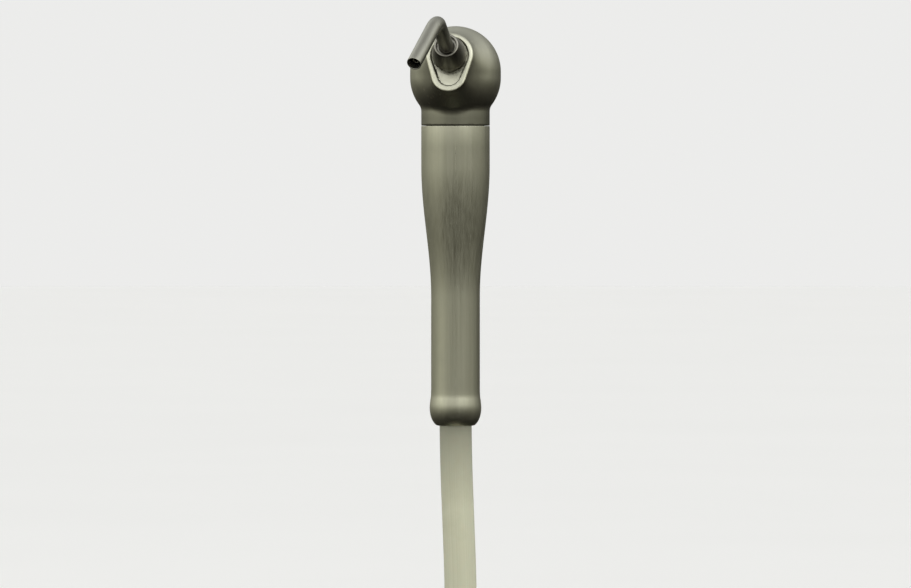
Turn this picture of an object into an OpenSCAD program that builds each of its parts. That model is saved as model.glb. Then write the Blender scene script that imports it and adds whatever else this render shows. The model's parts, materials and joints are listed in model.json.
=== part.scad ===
// Three-way dental syringe: a ball head with an angled nozzle and two push-button valves, a
// tapered grip sleeve, and the supply hose. +Z runs up the grip, the nozzle points to -Y and the
// buttons to +Y. The origin is on the grip's axis, at the lower end of its taper.

/* [Head] */
// Radius of the ball that houses the valves
ball_r = 12.65; // [12.5:0.05:12.8]
// Height of the ball's upper centre above the lower end of the grip's taper
ball_z = 62; // [61.5:0.1:62.5]
// Height of the straight band round the middle of the ball
ball_band = 1.7; // [1.3:0.1:2]
// Angle of the nozzle above the horizontal
nozzle_tilt = 18; // [17:0.5:19]
// Angle of the button face's normal above the horizontal
deck_tilt = 20; // [19:0.5:21]
// Distance of each valve from the middle plane
valve_x = 5; // [5:0.05:5.2]

/* [Nozzle] */
// Distance along the nozzle from the ball's centre to the end of the nose
nose_s = 14.3; // [14:0.1:15]
// Distance along the nozzle to the mouth of the locking nut
nut_mouth_s = 22.5; // [21:0.1:24]

/* [Tip] */
// Outer radius of the tip's air tube
tip_r = 2; // [1.9:0.01:2.02]
// Distance along the nozzle to the start of the tip's bend
tip_bend_s = 39; // [36:1:46]
// Angle of the tip's bend
tip_bend = 57; // [45:1:70]
// Radius of the tip's bend, on its centre line
tip_bend_r = 7.5; // [6:0.1:9]
// Length of the tip beyond its bend
tip_leg = 16; // [12:0.5:18]
// Turn of the tip about the nozzle, from straight down
tip_spin = 15; // [0:1:40]

/* [Buttons] */
// Radius of each button's cap
button_r = 4.2; // [3.8:0.05:4.3]
// Travel of each button
button_travel = 2; // [1.5:0.1:2.1]

/* [Grip] */
// Outer radius of the grip's upper part
grip_top_r = 9.55; // [9.4:0.05:9.7]
// Outer radius of the grip's lower part
grip_low_r = 6.8; // [6.7:0.05:6.9]
// Height of the joint between the head and the grip
seam_z = 46.9; // [46:0.1:47.5]
// Height at which the grip starts to taper
taper_z = 35.8; // [34:0.1:37]
// Lower end of the grip
grip_end_z = -36.7; // [-38:0.1:-36]

/* [Hose] */
// Outer diameter of the hose
hose_d = 9; // [8.8:0.1:9]
// Mean radius of the coil's outer layer of turns
coil_r = 54; // [54:1:56]

/* [Hidden] */
$fn = 64;

// Clearance between parts that slide or turn on each other
run_gap = 0.05;
// Clearance between parts that are screwed or pressed together
seat_gap = 0.03;
// How far cutting shapes run past the faces that they cut
past = 1;

// Head
neck_fillet_r = 3;
ball_low_z = ball_z - ball_band;
spigot_r = 7.95;
spigot_end_z = 38.5;
head_seam_gap = 0.1;
head_chamfer = 0.35;
grip_seal_r = 0.3;
grip_seal_z = 45.4;
groove_gap = 0.05;
deck_w = 8;
valve_bore_r = 2.6;
valve_floor_w = -7.5;
nose_r = 6.4;
nose_toe_r = 4.9;
nose_toe_drop = 5.8;
nose_start_s = 6;
pocket_floor_s = 13;
pocket_rim = 1.2;
nut_bore_r = 4.2;
nut_bore_s = 8.5;
air_stage_r = 3;
air_stage_s = 6;
water_stage_r = 1.8;
water_stage_s = 3;
supply_r = 0.8;
supply_x = 2.7;
supply_y = -1.2;
supply_top_z = ball_z - 0.1;
water_guide_r = 1;
nozzle_feed_s = -4;
// Ends of the cross drillings, from the ball's centre
water_cross = [[-4.5, 3.2, -0.5], [0.4, 3.2, -0.5]];
air_cross = [[4.2, 1.8, 3.2], [2.2, -5.9, 3.3]];

// Valves, measured along each valve's own axis
seat_w = 1.5;
bushing_top_w = 8.6;
bushing_flange_r = 3.7;
bushing_chamber_r = 1.7;
bushing_guide_w = 4.2;
bushing_port_w = 2.8;
bushing_port_r = 0.7;
bushing_groove = 0.35;
bushing_groove_h = 1.6;
stem_r = 1.2;
stem_seal_w = 5.3;
stem_seal_r = 0.25;
stem_gland_h = 0.8;
stem_gland_r = stem_r + 2 * stem_seal_r + 2 * seat_gap;
stem_low_w = -2.6;
poppet_r = 2.1;
poppet_low_w = -0.5;
poppet_seal_t = 0.6;
button_low_w = bushing_top_w + button_travel + 0.3;
button_top_w = button_low_w + 2.6;
button_bevel = 0.8;
button_socket = 1.6;
spring_coil_r = 1.72;
spring_wire_r = 0.3;
spring_turns = 5;
spring_turn_steps = 16;
spring_end_gap = 0.05;
stem_socket_gap = 0.1;

// Nozzle, measured along its axis from the ball's centre
washer_s = 8.6;
washer_t = 0.8;
nut_start_s = washer_s + washer_t + 0.1;
nut_hex_s = pocket_floor_s + 0.3;
nut_hex_t = 2.4;
nut_flat_depth = 0.45;
nut_flat_t = 2;
nut_r = 4.8;
nut_mouth_r = 3.4;
nut_mouth_wall = 0.6;
nut_mouth_depth = 1.4;
tip_start_s = 6.6;
tip_wall = 0.3;
water_tube_r = 0.9;
water_tube_s = 1.8;
tip_seal_r = 0.45;
tip_seal_s = 8;
water_seal_r = 0.4;
water_seal_s = 3.45;
spacer_start_s = 4.1;
spacer_flange_t = 0.45;
collar_start_s = 7.4;
collar_end_s = 10.4;
collar_notch_r = 1.15;
collar_notch_w = 1;
bend_swell = 0.02;
bend_lap = 0.3;

// Grip
grip_bore_r = 5.6;
grip_socket_r = 8;
grip_socket_z = 38;
grip_bore_low_z = -30;
grip_chamfer = 0.25;
hose_exit_r = hose_d / 2 + 0.1;
taper_end_z = -1;
taper_steps = 16;
// The bead round the lower end, from the grip's lower radius and its end
bead_outline = [[0, 7.3], [0.1, 6.3], [0.3, 5.3], [0.4, 4.5], [0.38, 3.7], [0.25, 2.7], [-0.05, 1.7],
    [-0.45, 0.9], [-0.9, 0.4], [-1.5, 0.1], [-1.7, 0]];

// Hose ends inside the grip
lumen_r = 1.5;
lumen_bore_r = 0.95;
lumen_top_z = spigot_end_z - 1.3;
barb_low_z = 32.5;
barb_socket_z = 43;
barb_top_z = barb_socket_z - 0.1;
barb_root_r = 1.42;
barb_shoulder = 1.2;
barb_pitch = 2;
barb_h = 1.2;
barb_bite = 0.18;
barb_bore_r = 0.5;
clamp_low_z = 33;
clamp_high_z = 35.6;
clamp_t = 0.6;
jacket_top_z = -8;
crimp_low_z = -24;
crimp_high_z = -10;
crimp_r = 5.5;

// Coil: it hangs below the grip in the Y-Z plane, from a hose that bends round to meet it
coil_z = -167;
turn_pitch = 9;
coil_half_x = 1.5 * turn_pitch;
tie_upper_angle = -58;
tie_lower_angle = 90;
tie_t = 1.4;
tie_w = 12;

// The free hose's centre line, from its end inside the grip down to the coil
run_route = [[0, 0, jacket_top_z], [0, 0, -20], [0, 0, -32], [0.3, 0, -50], [0.9, 0, -66],
    [1.4, 0, -82], [1.4, -0.71, -89.5], [1.2, -2.81, -96.73], [0.9, -6.23, -103.43],
    [0.6, -10.84, -109.38], [0.3, -16.49, -114.36], [0, -22.97, -118.19]];
// The tail's centre line, from the coil down to the fitting
tail_route = [[-9, -41.5, -132], [-9, -49, -142.5], [-9, -54.5, -153.5], [-9, -59, -165.5],
    [-9, -61.5, -177.5], [-9, -62.5, -190]];
hose_sides = 12;

// Far end
plug_at = [-9, -62.5, -190];
plug_flange_r = 7.4;
plug_flange_t = 3;
plug_pin_r = 6;
plug_pin_l = 8;
plug_seal_r = 0.4;
plug_seal_h = plug_flange_t + plug_pin_l + 1.2;
plug_end_h = plug_flange_t + plug_pin_l + 2.6;
plug_outlet_x = 2.6;
plug_outlet_r = 1.4;
plug_outlet_l = 3.4;
sleeve_l = 9;
sleeve_t = 0.9;

module at_nozzle() {
    translate([0, 0, ball_z]) rotate([90 - nozzle_tilt, 0, 0]) children();
}

// side is 1 for the air valve and -1 for the water valve
module at_valve(side) {
    translate([0, 0, ball_z]) rotate([deck_tilt - 90, 0, 0]) translate([side * valve_x, 0, 0]) children();
}

// A tube or rod between two heights on the local axis
module span(from, to, r) {
    translate([0, 0, from]) cylinder(h = to - from, r = r);
}

module ring(from, to, r, bore) {
    difference() {
        span(from, to, r);
        span(from - past, to + past, bore);
    }
}

module torus(ring_r, wire_r, height) {
    translate([0, 0, height]) rotate_extrude() translate([ring_r, 0]) circle(r = wire_r);
}

// A straight drilling from one point to another
module drilling(from, to, r) {
    d = to - from;
    yaw = atan2(d[1], d[0]);
    pitch = atan2(norm([d[0], d[1]]), d[2]);
    translate(from) rotate([0, pitch, yaw]) cylinder(h = norm(d), r = r);
}

// The nose's outline: a round end about the nozzle joined to a small toe below it
module teardrop(r, toe_r, drop) {
    lean = asin((r - toe_r) / drop);
    c = cos(lean);
    s = sin(lean);
    circle(r = r);
    translate([0, -drop]) circle(r = toe_r);
    polygon([
        [r * c, -r * s], [toe_r * c, -drop - toe_r * s], [-toe_r * c, -drop - toe_r * s], [-r * c, -r * s]
    ]);
}

// Half outline of the ball and neck, in radius and height
module head_outline() {
    fillet_x = grip_top_r + neck_fillet_r;
    fillet_z = ball_low_z - sqrt(pow(ball_r + neck_fillet_r, 2) - pow(fillet_x, 2));
    meet = ball_r / (ball_r + neck_fillet_r);
    fillet_meet_x = fillet_x * meet;
    fillet_meet_z = ball_low_z + (fillet_z - ball_low_z) * meet;
    intersection() {
        union() {
            translate([0, ball_z]) circle(r = ball_r);
            translate([0, ball_low_z]) circle(r = ball_r);
            translate([0, ball_low_z]) square([ball_r, ball_band]);
            translate([0, seam_z + head_chamfer]) square([grip_top_r, ball_low_z - seam_z - head_chamfer]);
            translate([0, seam_z + head_seam_gap]) square([grip_top_r - head_chamfer, past]);
            // The fillet between the ball and the neck, as far as the point where it meets the ball
            difference() {
                translate([0, fillet_z]) square([fillet_meet_x, fillet_meet_z - fillet_z]);
                translate([fillet_x, fillet_z]) circle(r = neck_fillet_r + 0.02);
            }
        }
        translate([0, spigot_end_z]) square([2 * ball_r, 2 * ball_r + ball_z - spigot_end_z]);
    }
}

module valve_drillings(side) {
    at_valve(side) {
        span(valve_floor_w, deck_w + past, valve_bore_r);
    }
    translate([side * supply_x, supply_y, 0]) {
        span(spigot_end_z - past, supply_top_z, supply_r);
        span(spigot_end_z - past, barb_socket_z, barb_root_r + seat_gap);
    }
}

module head_body() {
    color([0.62, 0.61, 0.54])
    difference() {
        union() {
            rotate_extrude() head_outline();
            span(spigot_end_z, seam_z + past, spigot_r);
            at_nozzle() translate([0, 0, nose_start_s]) linear_extrude(nose_s - nose_start_s) {
                teardrop(nose_r, nose_toe_r, nose_toe_drop);
            }
        }
        at_nozzle() {
            translate([0, 0, pocket_floor_s]) linear_extrude(nose_s) {
                teardrop(nose_r - pocket_rim, nose_toe_r - pocket_rim, nose_toe_drop);
            }
            span(nut_bore_s, pocket_floor_s + past, nut_bore_r);
            span(air_stage_s, nut_bore_s + past, air_stage_r);
            span(water_stage_s, air_stage_s + past, water_stage_r);
            span(water_tube_s - seat_gap, water_stage_s + past, water_guide_r);
            span(nozzle_feed_s, water_tube_s, supply_r);
        }
        translate([0, 0, ball_z]) rotate([deck_tilt - 90, 0, 0]) {
            span(deck_w, ball_r + past, 2 * ball_r);
        }
        valve_drillings(1);
        valve_drillings(-1);
        translate([0, 0, ball_z]) {
            drilling(water_cross[0], water_cross[1], supply_r);
            drilling(air_cross[0], air_cross[1], supply_r);
        }
        torus(spigot_r, 2 * grip_seal_r + groove_gap, grip_seal_z);
    }
}

// Radius of the grip's taper at a fraction of the way down it
function taper_r(t) = grip_low_r + (grip_top_r - grip_low_r) * (1 + cos(180 * t)) / 2;

module grip_outline() {
    taper_h = taper_z - taper_end_z;
    grip_top_z = seam_z - head_seam_gap;
    polygon(concat(
        [[0, grip_top_z], [grip_top_r - grip_chamfer, grip_top_z], [grip_top_r, grip_top_z - grip_chamfer]],
        [for (i = [0:taper_steps]) [taper_r(i / taper_steps), taper_z - taper_h * i / taper_steps]],
        [for (p = bead_outline) [grip_low_r + p[0], grip_end_z + p[1]]],
        [[0, grip_end_z]]
    ));
}

module grip_sleeve() {
    color([0.58, 0.57, 0.5])
    difference() {
        rotate_extrude() grip_outline();
        span(grip_socket_z, seam_z + past, grip_socket_r);
        span(grip_bore_low_z, grip_socket_z + past, grip_bore_r);
        span(grip_end_z - past, grip_bore_low_z + past, hose_exit_r);
    }
}

module grip_seal() {
    color([0.1, 0.1, 0.1]) torus(spigot_r - grip_seal_r - 0.03, grip_seal_r, grip_seal_z);
}

module valve_button(side) {
    at_valve(side) difference() {
        union() {
            span(button_low_w, button_top_w - button_bevel, button_r);
            translate([0, 0, button_top_w - button_bevel]) {
                cylinder(h = button_bevel, r1 = button_r, r2 = button_r - button_bevel);
            }
        }
        span(button_low_w - past, button_low_w + button_socket, stem_r + seat_gap);
    }
}

module air_button() {
    color([0.2, 0.4, 0.62]) valve_button(1);
}

module water_button() {
    color([0.2, 0.52, 0.36]) valve_button(-1);
}

// A stem from the button down through the seat, with the poppet at its foot
module valve_stem(side) {
    at_valve(side) {
        span(stem_low_w, button_low_w + button_socket - stem_socket_gap, stem_r);
        span(poppet_low_w, seat_w - poppet_seal_t - seat_gap, poppet_r);
    }
}

module air_stem() {
    color([0.75, 0.75, 0.76]) valve_stem(1);
}

module water_stem() {
    color([0.75, 0.75, 0.76]) valve_stem(-1);
}

module stem_seal(side) {
    at_valve(side) torus(stem_r + seat_gap + stem_seal_r, stem_seal_r, stem_seal_w);
}

module air_stem_seal() {
    color([0.1, 0.1, 0.1]) stem_seal(1);
}

module water_stem_seal() {
    color([0.1, 0.1, 0.1]) stem_seal(-1);
}

module poppet_seal(side) {
    at_valve(side) ring(seat_w - poppet_seal_t, seat_w - seat_gap, poppet_r, stem_r + seat_gap);
}

module air_poppet_seal() {
    color([0.15, 0.15, 0.15]) poppet_seal(1);
}

module water_poppet_seal() {
    color([0.15, 0.15, 0.15]) poppet_seal(-1);
}

// A coil spring under the poppet, swept as one mesh
module valve_spring(side) {
    steps = spring_turn_steps * spring_turns;
    sides = 6;
    low = valve_floor_w + spring_wire_r + spring_end_gap;
    high = poppet_low_w - spring_wire_r - spring_end_gap;
    points = [for (i = [0:steps]) for (k = [0:sides - 1])
        let (
            turn = 360 * i / spring_turn_steps,
            a = 360 * k / sides,
            r = spring_coil_r + spring_wire_r * cos(a)
        )
        [r * cos(turn), r * sin(turn), low + (high - low) * i / steps + spring_wire_r * sin(a)]];
    walls = [for (i = [0:steps - 1]) for (k = [0:sides - 1])
        let (a = i * sides + k, b = i * sides + (k + 1) % sides)
        [a, b, b + sides, a + sides]];
    at_valve(side) {
        polyhedron(
            points,
            concat([[for (k = [sides - 1:-1:0]) k]], walls, [[for (k = [0:sides - 1]) steps * sides + k]]),
            convexity = 10
        );
    }
}

module air_spring() {
    color([0.7, 0.7, 0.7]) valve_spring(1);
}

module water_spring() {
    color([0.7, 0.7, 0.7]) valve_spring(-1);
}

// The seat, outlet chamber and stem guide of one valve, in one turned piece
module valve_bushing(side) {
    at_valve(side) difference() {
        union() {
            span(seat_w, deck_w, valve_bore_r - seat_gap);
            span(deck_w + seat_gap, bushing_top_w, bushing_flange_r);
            span(deck_w - past, bushing_top_w, valve_bore_r - seat_gap);
        }
        span(seat_w - past, bushing_top_w + past, stem_r + run_gap);
        span(seat_w - past, bushing_guide_w, bushing_chamber_r);
        span(stem_seal_w - stem_gland_h / 2, stem_seal_w + stem_gland_h / 2, stem_gland_r);
        for (turn = [0, 90]) rotate([0, 0, turn]) translate([0, 0, bushing_port_w]) {
            rotate([90, 0, 0]) cylinder(h = 4 * valve_bore_r, r = bushing_port_r, center = true);
        }
        translate([0, 0, bushing_port_w - bushing_groove_h / 2]) {
            ring(0, bushing_groove_h, valve_bore_r + past, valve_bore_r - bushing_groove);
        }
    }
}

module air_valve_bushing() {
    color("goldenrod") valve_bushing(1);
}

module water_valve_bushing() {
    color("goldenrod") valve_bushing(-1);
}

module nozzle_nut() {
    hex_end_s = nut_hex_s + nut_hex_t;
    color([0.34, 0.34, 0.31])
    at_nozzle() difference() {
        union() {
            span(nut_start_s, nut_hex_s + past, nut_bore_r - run_gap);
            span(nut_hex_s, hex_end_s, nut_r);
            translate([0, 0, hex_end_s]) {
                cylinder(h = nut_mouth_s - hex_end_s, r1 = nut_r, r2 = nut_mouth_r);
            }
        }
        span(nut_start_s - past, nut_mouth_s + past, tip_r + run_gap);
        span(nut_mouth_s - nut_mouth_depth, nut_mouth_s + past, nut_mouth_r - nut_mouth_wall);
        for (i = [0:5]) rotate([0, 0, 60 * i]) {
            translate([nut_r - nut_flat_depth, -nut_r, nut_hex_s - 0.02]) {
                cube([nut_r, 2 * nut_r, nut_flat_t]);
            }
        }
    }
}

module thrust_washer() {
    color([0.82, 0.8, 0.72]) at_nozzle() {
        ring(washer_s, washer_s + washer_t, nut_bore_r - run_gap, tip_r + run_gap);
    }
}

module tip_seal() {
    color([0.1, 0.1, 0.1]) at_nozzle() torus(tip_r + run_gap + tip_seal_r, tip_seal_r, tip_seal_s);
}

module water_tube_seal() {
    color([0.1, 0.1, 0.1]) at_nozzle() {
        torus(water_tube_r + run_gap + water_seal_r, water_seal_r, water_seal_s);
    }
}

// A flanged sleeve that holds the small seal down and turns with the tip
module seal_spacer() {
    color("goldenrod")
    at_nozzle() difference() {
        union() {
            span(spacer_start_s, air_stage_s + spacer_flange_t, water_stage_r - run_gap);
            span(air_stage_s + run_gap, air_stage_s + spacer_flange_t, air_stage_r - 0.3);
        }
        span(spacer_start_s - past, air_stage_s + past, water_tube_r + run_gap);
    }
}

// A straight rod, its bend and its end, about the nozzle's axis; the bend swells a little
module bent_rod(from, r) {
    translate([0, 0, from]) cylinder(h = tip_bend_s - from + bend_lap, r = r);
    translate([0, -tip_bend_r, tip_bend_s]) {
        rotate([0, -90, 0]) rotate([0, 0, 90 - tip_bend]) rotate_extrude(angle = tip_bend) {
            translate([tip_bend_r, 0]) circle(r = r + bend_swell);
        }
        rotate([tip_bend, 0, 0]) translate([0, tip_bend_r, -bend_lap]) {
            cylinder(h = tip_leg + bend_lap, r = r);
        }
    }
}

module bent_tube(from, r, bore) {
    rotate([0, 0, -tip_spin]) difference() {
        bent_rod(from, r);
        bent_rod(from - past, bore);
        translate([0, -tip_bend_r, tip_bend_s]) rotate([tip_bend, 0, 0]) {
            translate([0, tip_bend_r, tip_leg - 0.1]) cylinder(h = past, r = bore);
        }
    }
}

module tip_air_tube() {
    color([0.66, 0.66, 0.6]) at_nozzle() bent_tube(tip_start_s, tip_r, tip_r - tip_wall);
}

module tip_water_tube() {
    color([0.7, 0.7, 0.7]) at_nozzle() bent_tube(water_tube_s, water_tube_r, water_tube_r - tip_wall);
}

// A collar that centres the water tube in the air tube, notched to let the air past
module tip_root_collar() {
    color("goldenrod")
    at_nozzle() difference() {
        ring(collar_start_s, collar_end_s, tip_r - tip_wall, water_tube_r);
        for (i = [0:2]) rotate([0, 0, 120 * i]) {
            translate([collar_notch_r, -collar_notch_w / 2, collar_start_s - past]) {
                cube([tip_r, collar_notch_w, collar_end_s - collar_start_s + 2 * past]);
            }
        }
    }
}

// A pressed-in hose tail with two ridges
module barb(side) {
    translate([side * supply_x, supply_y, 0]) difference() {
        union() {
            span(barb_low_z, barb_top_z, lumen_bore_r);
            span(spigot_end_z - barb_shoulder, barb_top_z, barb_root_r);
            for (i = [0:1]) translate([0, 0, barb_low_z + barb_pitch * i]) {
                cylinder(h = barb_h, r1 = lumen_bore_r - barb_bite, r2 = lumen_bore_r + barb_bite);
            }
        }
        span(barb_low_z - past, barb_socket_z + past, barb_bore_r);
    }
}

module air_barb() {
    color("goldenrod") barb(1);
}

module water_barb() {
    color("goldenrod") barb(-1);
}

module lumen(side) {
    translate([side * supply_x, supply_y, 0]) ring(jacket_top_z, lumen_top_z, lumen_r, lumen_bore_r);
}

module air_lumen() {
    color([0.86, 0.78, 0.4]) lumen(1);
}

module water_lumen() {
    color([0.35, 0.55, 0.75]) lumen(-1);
}

module lumen_clamp(side) {
    translate([side * supply_x, supply_y, 0]) ring(clamp_low_z, clamp_high_z, lumen_r + clamp_t, lumen_r);
}

module air_lumen_clamp() {
    color([0.75, 0.75, 0.75]) lumen_clamp(1);
}

module water_lumen_clamp() {
    color([0.75, 0.75, 0.75]) lumen_clamp(-1);
}

module hose_crimp() {
    color([0.75, 0.72, 0.6]) ring(crimp_low_z, crimp_high_z, crimp_r, hose_d / 2);
}

// A tube swept along a route that stays in one plane of constant X
module swept_hose(route, sides, r) {
    last = len(route) - 1;
    points = [for (i = [0:last]) for (k = [0:sides - 1])
        let (
            d = route[min(i + 1, last)] - route[max(i - 1, 0)],
            side_y = -d[2] / norm(d),
            side_z = d[1] / norm(d),
            a = 360 * k / sides
        )
        route[i] + r * [cos(a), side_y * sin(a), side_z * sin(a)]];
    walls = [for (i = [0:last - 1]) for (k = [0:sides - 1])
        let (a = i * sides + k, b = i * sides + (k + 1) % sides)
        [a, a + sides, b + sides, b]];
    polyhedron(
        points,
        concat([[for (k = [0:sides - 1]) k]], walls, [[for (k = [sides - 1:-1:0]) last * sides + k]]),
        convexity = 4
    );
}

module hose_run() {
    color([0.74, 0.74, 0.62]) swept_hose(run_route, hose_sides, hose_d / 2);
}

module hose_coil() {
    color([0.74, 0.74, 0.62])
    translate([-coil_half_x, 0, coil_z]) rotate([0, 90, 0]) rotate_extrude() {
        translate([coil_r - 1.5 * turn_pitch, 0]) square([2 * turn_pitch, 2 * coil_half_x]);
    }
}

module hose_tail() {
    color([0.74, 0.74, 0.62]) swept_hose(tail_route, hose_sides, hose_d / 2);
}

// A strap round the bundle of turns, at an angle about the coil's axis
module coil_tie(angle) {
    bundle = [2 * coil_half_x, 2 * turn_pitch];
    translate([0, 0, coil_z]) rotate([angle, 0, 0]) {
        translate([0, -coil_r + turn_pitch / 2, -tie_w / 2]) linear_extrude(tie_w) difference() {
            square([bundle[0] + 2 * tie_t, bundle[1] + 2 * tie_t], center = true);
            square(bundle, center = true);
        }
    }
}

module coil_tie_upper() {
    color([0.25, 0.26, 0.27]) coil_tie(tie_upper_angle);
}

module coil_tie_lower() {
    color([0.25, 0.26, 0.27]) coil_tie(tie_lower_angle);
}

module at_plug() {
    translate(plug_at) mirror([0, 0, 1]) children();
}

module unit_end_sleeve() {
    color([0.75, 0.75, 0.72]) at_plug() ring(-sleeve_l, 0, hose_d / 2 + sleeve_t, hose_d / 2);
}

// The fitting that plugs into the delivery unit: flange, sealed spigot and two outlet tubes
module unit_end_plug() {
    color("goldenrod") at_plug() difference() {
        union() {
            span(seat_gap, plug_flange_t, plug_flange_r);
            span(seat_gap, plug_end_h, plug_pin_r);
            for (side = [-1, 1]) translate([side * plug_outlet_x, 0, 0]) {
                span(plug_flange_t, plug_end_h + plug_outlet_l, plug_outlet_r);
            }
        }
        torus(plug_pin_r, 2 * plug_seal_r + groove_gap, plug_seal_h);
        for (side = [-1, 1]) translate([side * plug_outlet_x, 0, 0]) {
            span(past, plug_end_h + plug_outlet_l + past, plug_outlet_r / 2);
        }
    }
}

module unit_end_seal() {
    color([0.1, 0.1, 0.1]) at_plug() torus(plug_pin_r - plug_seal_r - 0.03, plug_seal_r, plug_seal_h);
}

head_body();
grip_sleeve();
grip_seal();
air_button();
water_button();
air_stem();
water_stem();
air_stem_seal();
water_stem_seal();
air_poppet_seal();
water_poppet_seal();
air_spring();
water_spring();
air_valve_bushing();
water_valve_bushing();
nozzle_nut();
thrust_washer();
tip_seal();
water_tube_seal();
seal_spacer();
tip_air_tube();
tip_water_tube();
tip_root_collar();
air_barb();
water_barb();
air_lumen();
water_lumen();
air_lumen_clamp();
water_lumen_clamp();
hose_crimp();
hose_run();
hose_coil();
hose_tail();
coil_tie_upper();
coil_tie_lower();
unit_end_sleeve();
unit_end_plug();
unit_end_seal();
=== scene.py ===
import json
import math

import bpy
import numpy as np
from mathutils import Matrix, Vector


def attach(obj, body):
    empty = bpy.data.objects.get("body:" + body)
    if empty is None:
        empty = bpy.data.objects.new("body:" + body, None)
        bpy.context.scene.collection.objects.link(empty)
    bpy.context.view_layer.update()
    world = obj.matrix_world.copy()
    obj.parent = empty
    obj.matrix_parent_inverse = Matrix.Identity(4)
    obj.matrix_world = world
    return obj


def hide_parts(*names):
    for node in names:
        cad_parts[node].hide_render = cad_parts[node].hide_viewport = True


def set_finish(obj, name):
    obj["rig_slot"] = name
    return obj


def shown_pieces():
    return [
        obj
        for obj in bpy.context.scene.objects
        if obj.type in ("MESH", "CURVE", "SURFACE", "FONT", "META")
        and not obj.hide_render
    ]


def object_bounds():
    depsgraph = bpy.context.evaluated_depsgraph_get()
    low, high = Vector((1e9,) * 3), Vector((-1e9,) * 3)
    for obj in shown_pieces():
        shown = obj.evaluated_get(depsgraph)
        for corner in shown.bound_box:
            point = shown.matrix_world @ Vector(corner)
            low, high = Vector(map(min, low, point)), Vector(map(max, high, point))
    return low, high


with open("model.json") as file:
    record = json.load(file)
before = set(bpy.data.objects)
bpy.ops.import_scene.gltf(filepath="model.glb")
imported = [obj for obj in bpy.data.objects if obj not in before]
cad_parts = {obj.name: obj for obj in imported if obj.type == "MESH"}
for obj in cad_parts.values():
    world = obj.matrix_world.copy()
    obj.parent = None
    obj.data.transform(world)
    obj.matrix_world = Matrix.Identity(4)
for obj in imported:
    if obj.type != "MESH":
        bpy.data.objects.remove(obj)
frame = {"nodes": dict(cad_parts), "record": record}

cad_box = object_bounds()
nodes = frame["nodes"]

# ---------------------------------------------------------------- dimensions, in metres
# Names that end in _S are measured from the ball's centre along the nozzle, and in _W from there
# along the valves' own axis
MM = 0.001
RUN_GAP = 0.05 * MM
BALL_R = 12.65 * MM
BALL_Z = 62.0 * MM
BALL_LOW_Z = 60.3 * MM
GRIP_TOP_R = 9.55 * MM
GRIP_LOW_R = 6.8 * MM
GRIP_BORE_R = 5.6 * MM
GRIP_BORE_Z = -29.0 * MM
HOSE_EXIT_R = 4.6 * MM
SOCKET_R = 8.0 * MM
SOCKET_Z = 38.0 * MM
SPIGOT_R = 7.95 * MM
SPIGOT_Z = 38.5 * MM
SPIGOT_MID_Z = 44.0 * MM
SEAM_Z = 46.9 * MM
NECK_FILLET_R = 3.0 * MM
TAPER_TOP_Z = 35.8 * MM
TAPER_END_Z = -1.0 * MM
NOZZLE_TILT = math.radians(18)
DECK_TILT = math.radians(20)
VALVE_X = 5.0 * MM
VALVE_BORE_R = 2.6 * MM
VALVE_BORE_W = 1.5 * MM
DECK_W = 8.0 * MM
NOSE_S = 14.3 * MM
NOSE_MID_S = 9.0 * MM
NOSE_R = 6.4 * MM
NOSE_BLEND_R = 4.0 * MM
TOE_R = 4.9 * MM
TOE_DROP = 5.8 * MM
POCKET_S = 13.0 * MM
POCKET_RIM = 1.2 * MM
NUT_BORE_R = 4.2 * MM
NUT_BORE_S = 8.5 * MM
NUT_START_S = 9.5 * MM
NUT_MID_S = 12.0 * MM
NUT_HEX_S = 13.3 * MM
NUT_COLLAR_S = 15.7 * MM
NUT_MOUTH_S = 22.5 * MM
NUT_R = 4.8 * MM
NUT_MOUTH_R = 3.4 * MM
TIP_R = 2.0 * MM
TIP_BORE_R = 1.7 * MM
TIP_START_S = 6.6 * MM
TIP_BEND_S = 39.0 * MM
TIP_BEND_R = 7.5 * MM
TIP_BEND = math.radians(57)
TIP_LEG = 16.0 * MM
TIP_SPIN = math.radians(15)
WATER_TUBE_R = 0.9 * MM
WATER_BORE_R = 0.6 * MM
WATER_TUBE_S = 1.8 * MM
WATER_TUBE_INSET = 1.6 * MM
BUTTON_R = 4.2 * MM
BUTTON_LOW_W = 10.9 * MM
BUTTON_TOP_W = 13.5 * MM
HOSE_D = 9.0 * MM
COIL_R = 54.0 * MM
COIL_Z = -167.0 * MM
PLUG_AT = Vector((-9, -62.5, -190)) * MM

# ---------------------------------------------------------------- camera
CAMERA_AZIMUTH = math.radians(7)
CAMERA_DISTANCE = 1.6
CAMERA_Z = 0.0367
VIEW_HEIGHT = 0.164
FRAME_ASPECT = 911 / 588


def make_camera():
    data = bpy.data.cameras.new("camera")
    camera = bpy.data.objects.new("camera", data)
    bpy.context.scene.collection.objects.link(camera)
    data.sensor_width = 36.0
    data.lens = data.sensor_width * CAMERA_DISTANCE / (VIEW_HEIGHT * FRAME_ASPECT)
    camera.location = (
        CAMERA_DISTANCE * math.sin(CAMERA_AZIMUTH),
        -CAMERA_DISTANCE * math.cos(CAMERA_AZIMUTH),
        CAMERA_Z,
    )
    aim = Vector((0, 0, 0)) - camera.location
    camera.rotation_mode = "QUATERNION"
    camera.rotation_quaternion = aim.to_track_quat("-Z", "Y")
    bpy.context.scene.camera = camera


make_camera()


# ---------------------------------------------------------------- mesh helpers
def new_object(name, vertices, faces, smooth=True):
    mesh = bpy.data.meshes.new(name)
    mesh.from_pydata([tuple(v) for v in vertices], [], [tuple(f) for f in faces])
    mesh.validate()
    mesh.update()
    if smooth:
        mesh.shade_smooth()
    piece = bpy.data.objects.new(name, mesh)
    bpy.context.scene.collection.objects.link(piece)
    return piece


def nozzle_frame():
    """Matrix whose local z runs along the nozzle from the ball's centre."""
    turn = Matrix.Rotation(math.pi / 2 - NOZZLE_TILT, 4, "X")
    return Matrix.Translation((0, 0, BALL_Z)) @ turn


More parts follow.
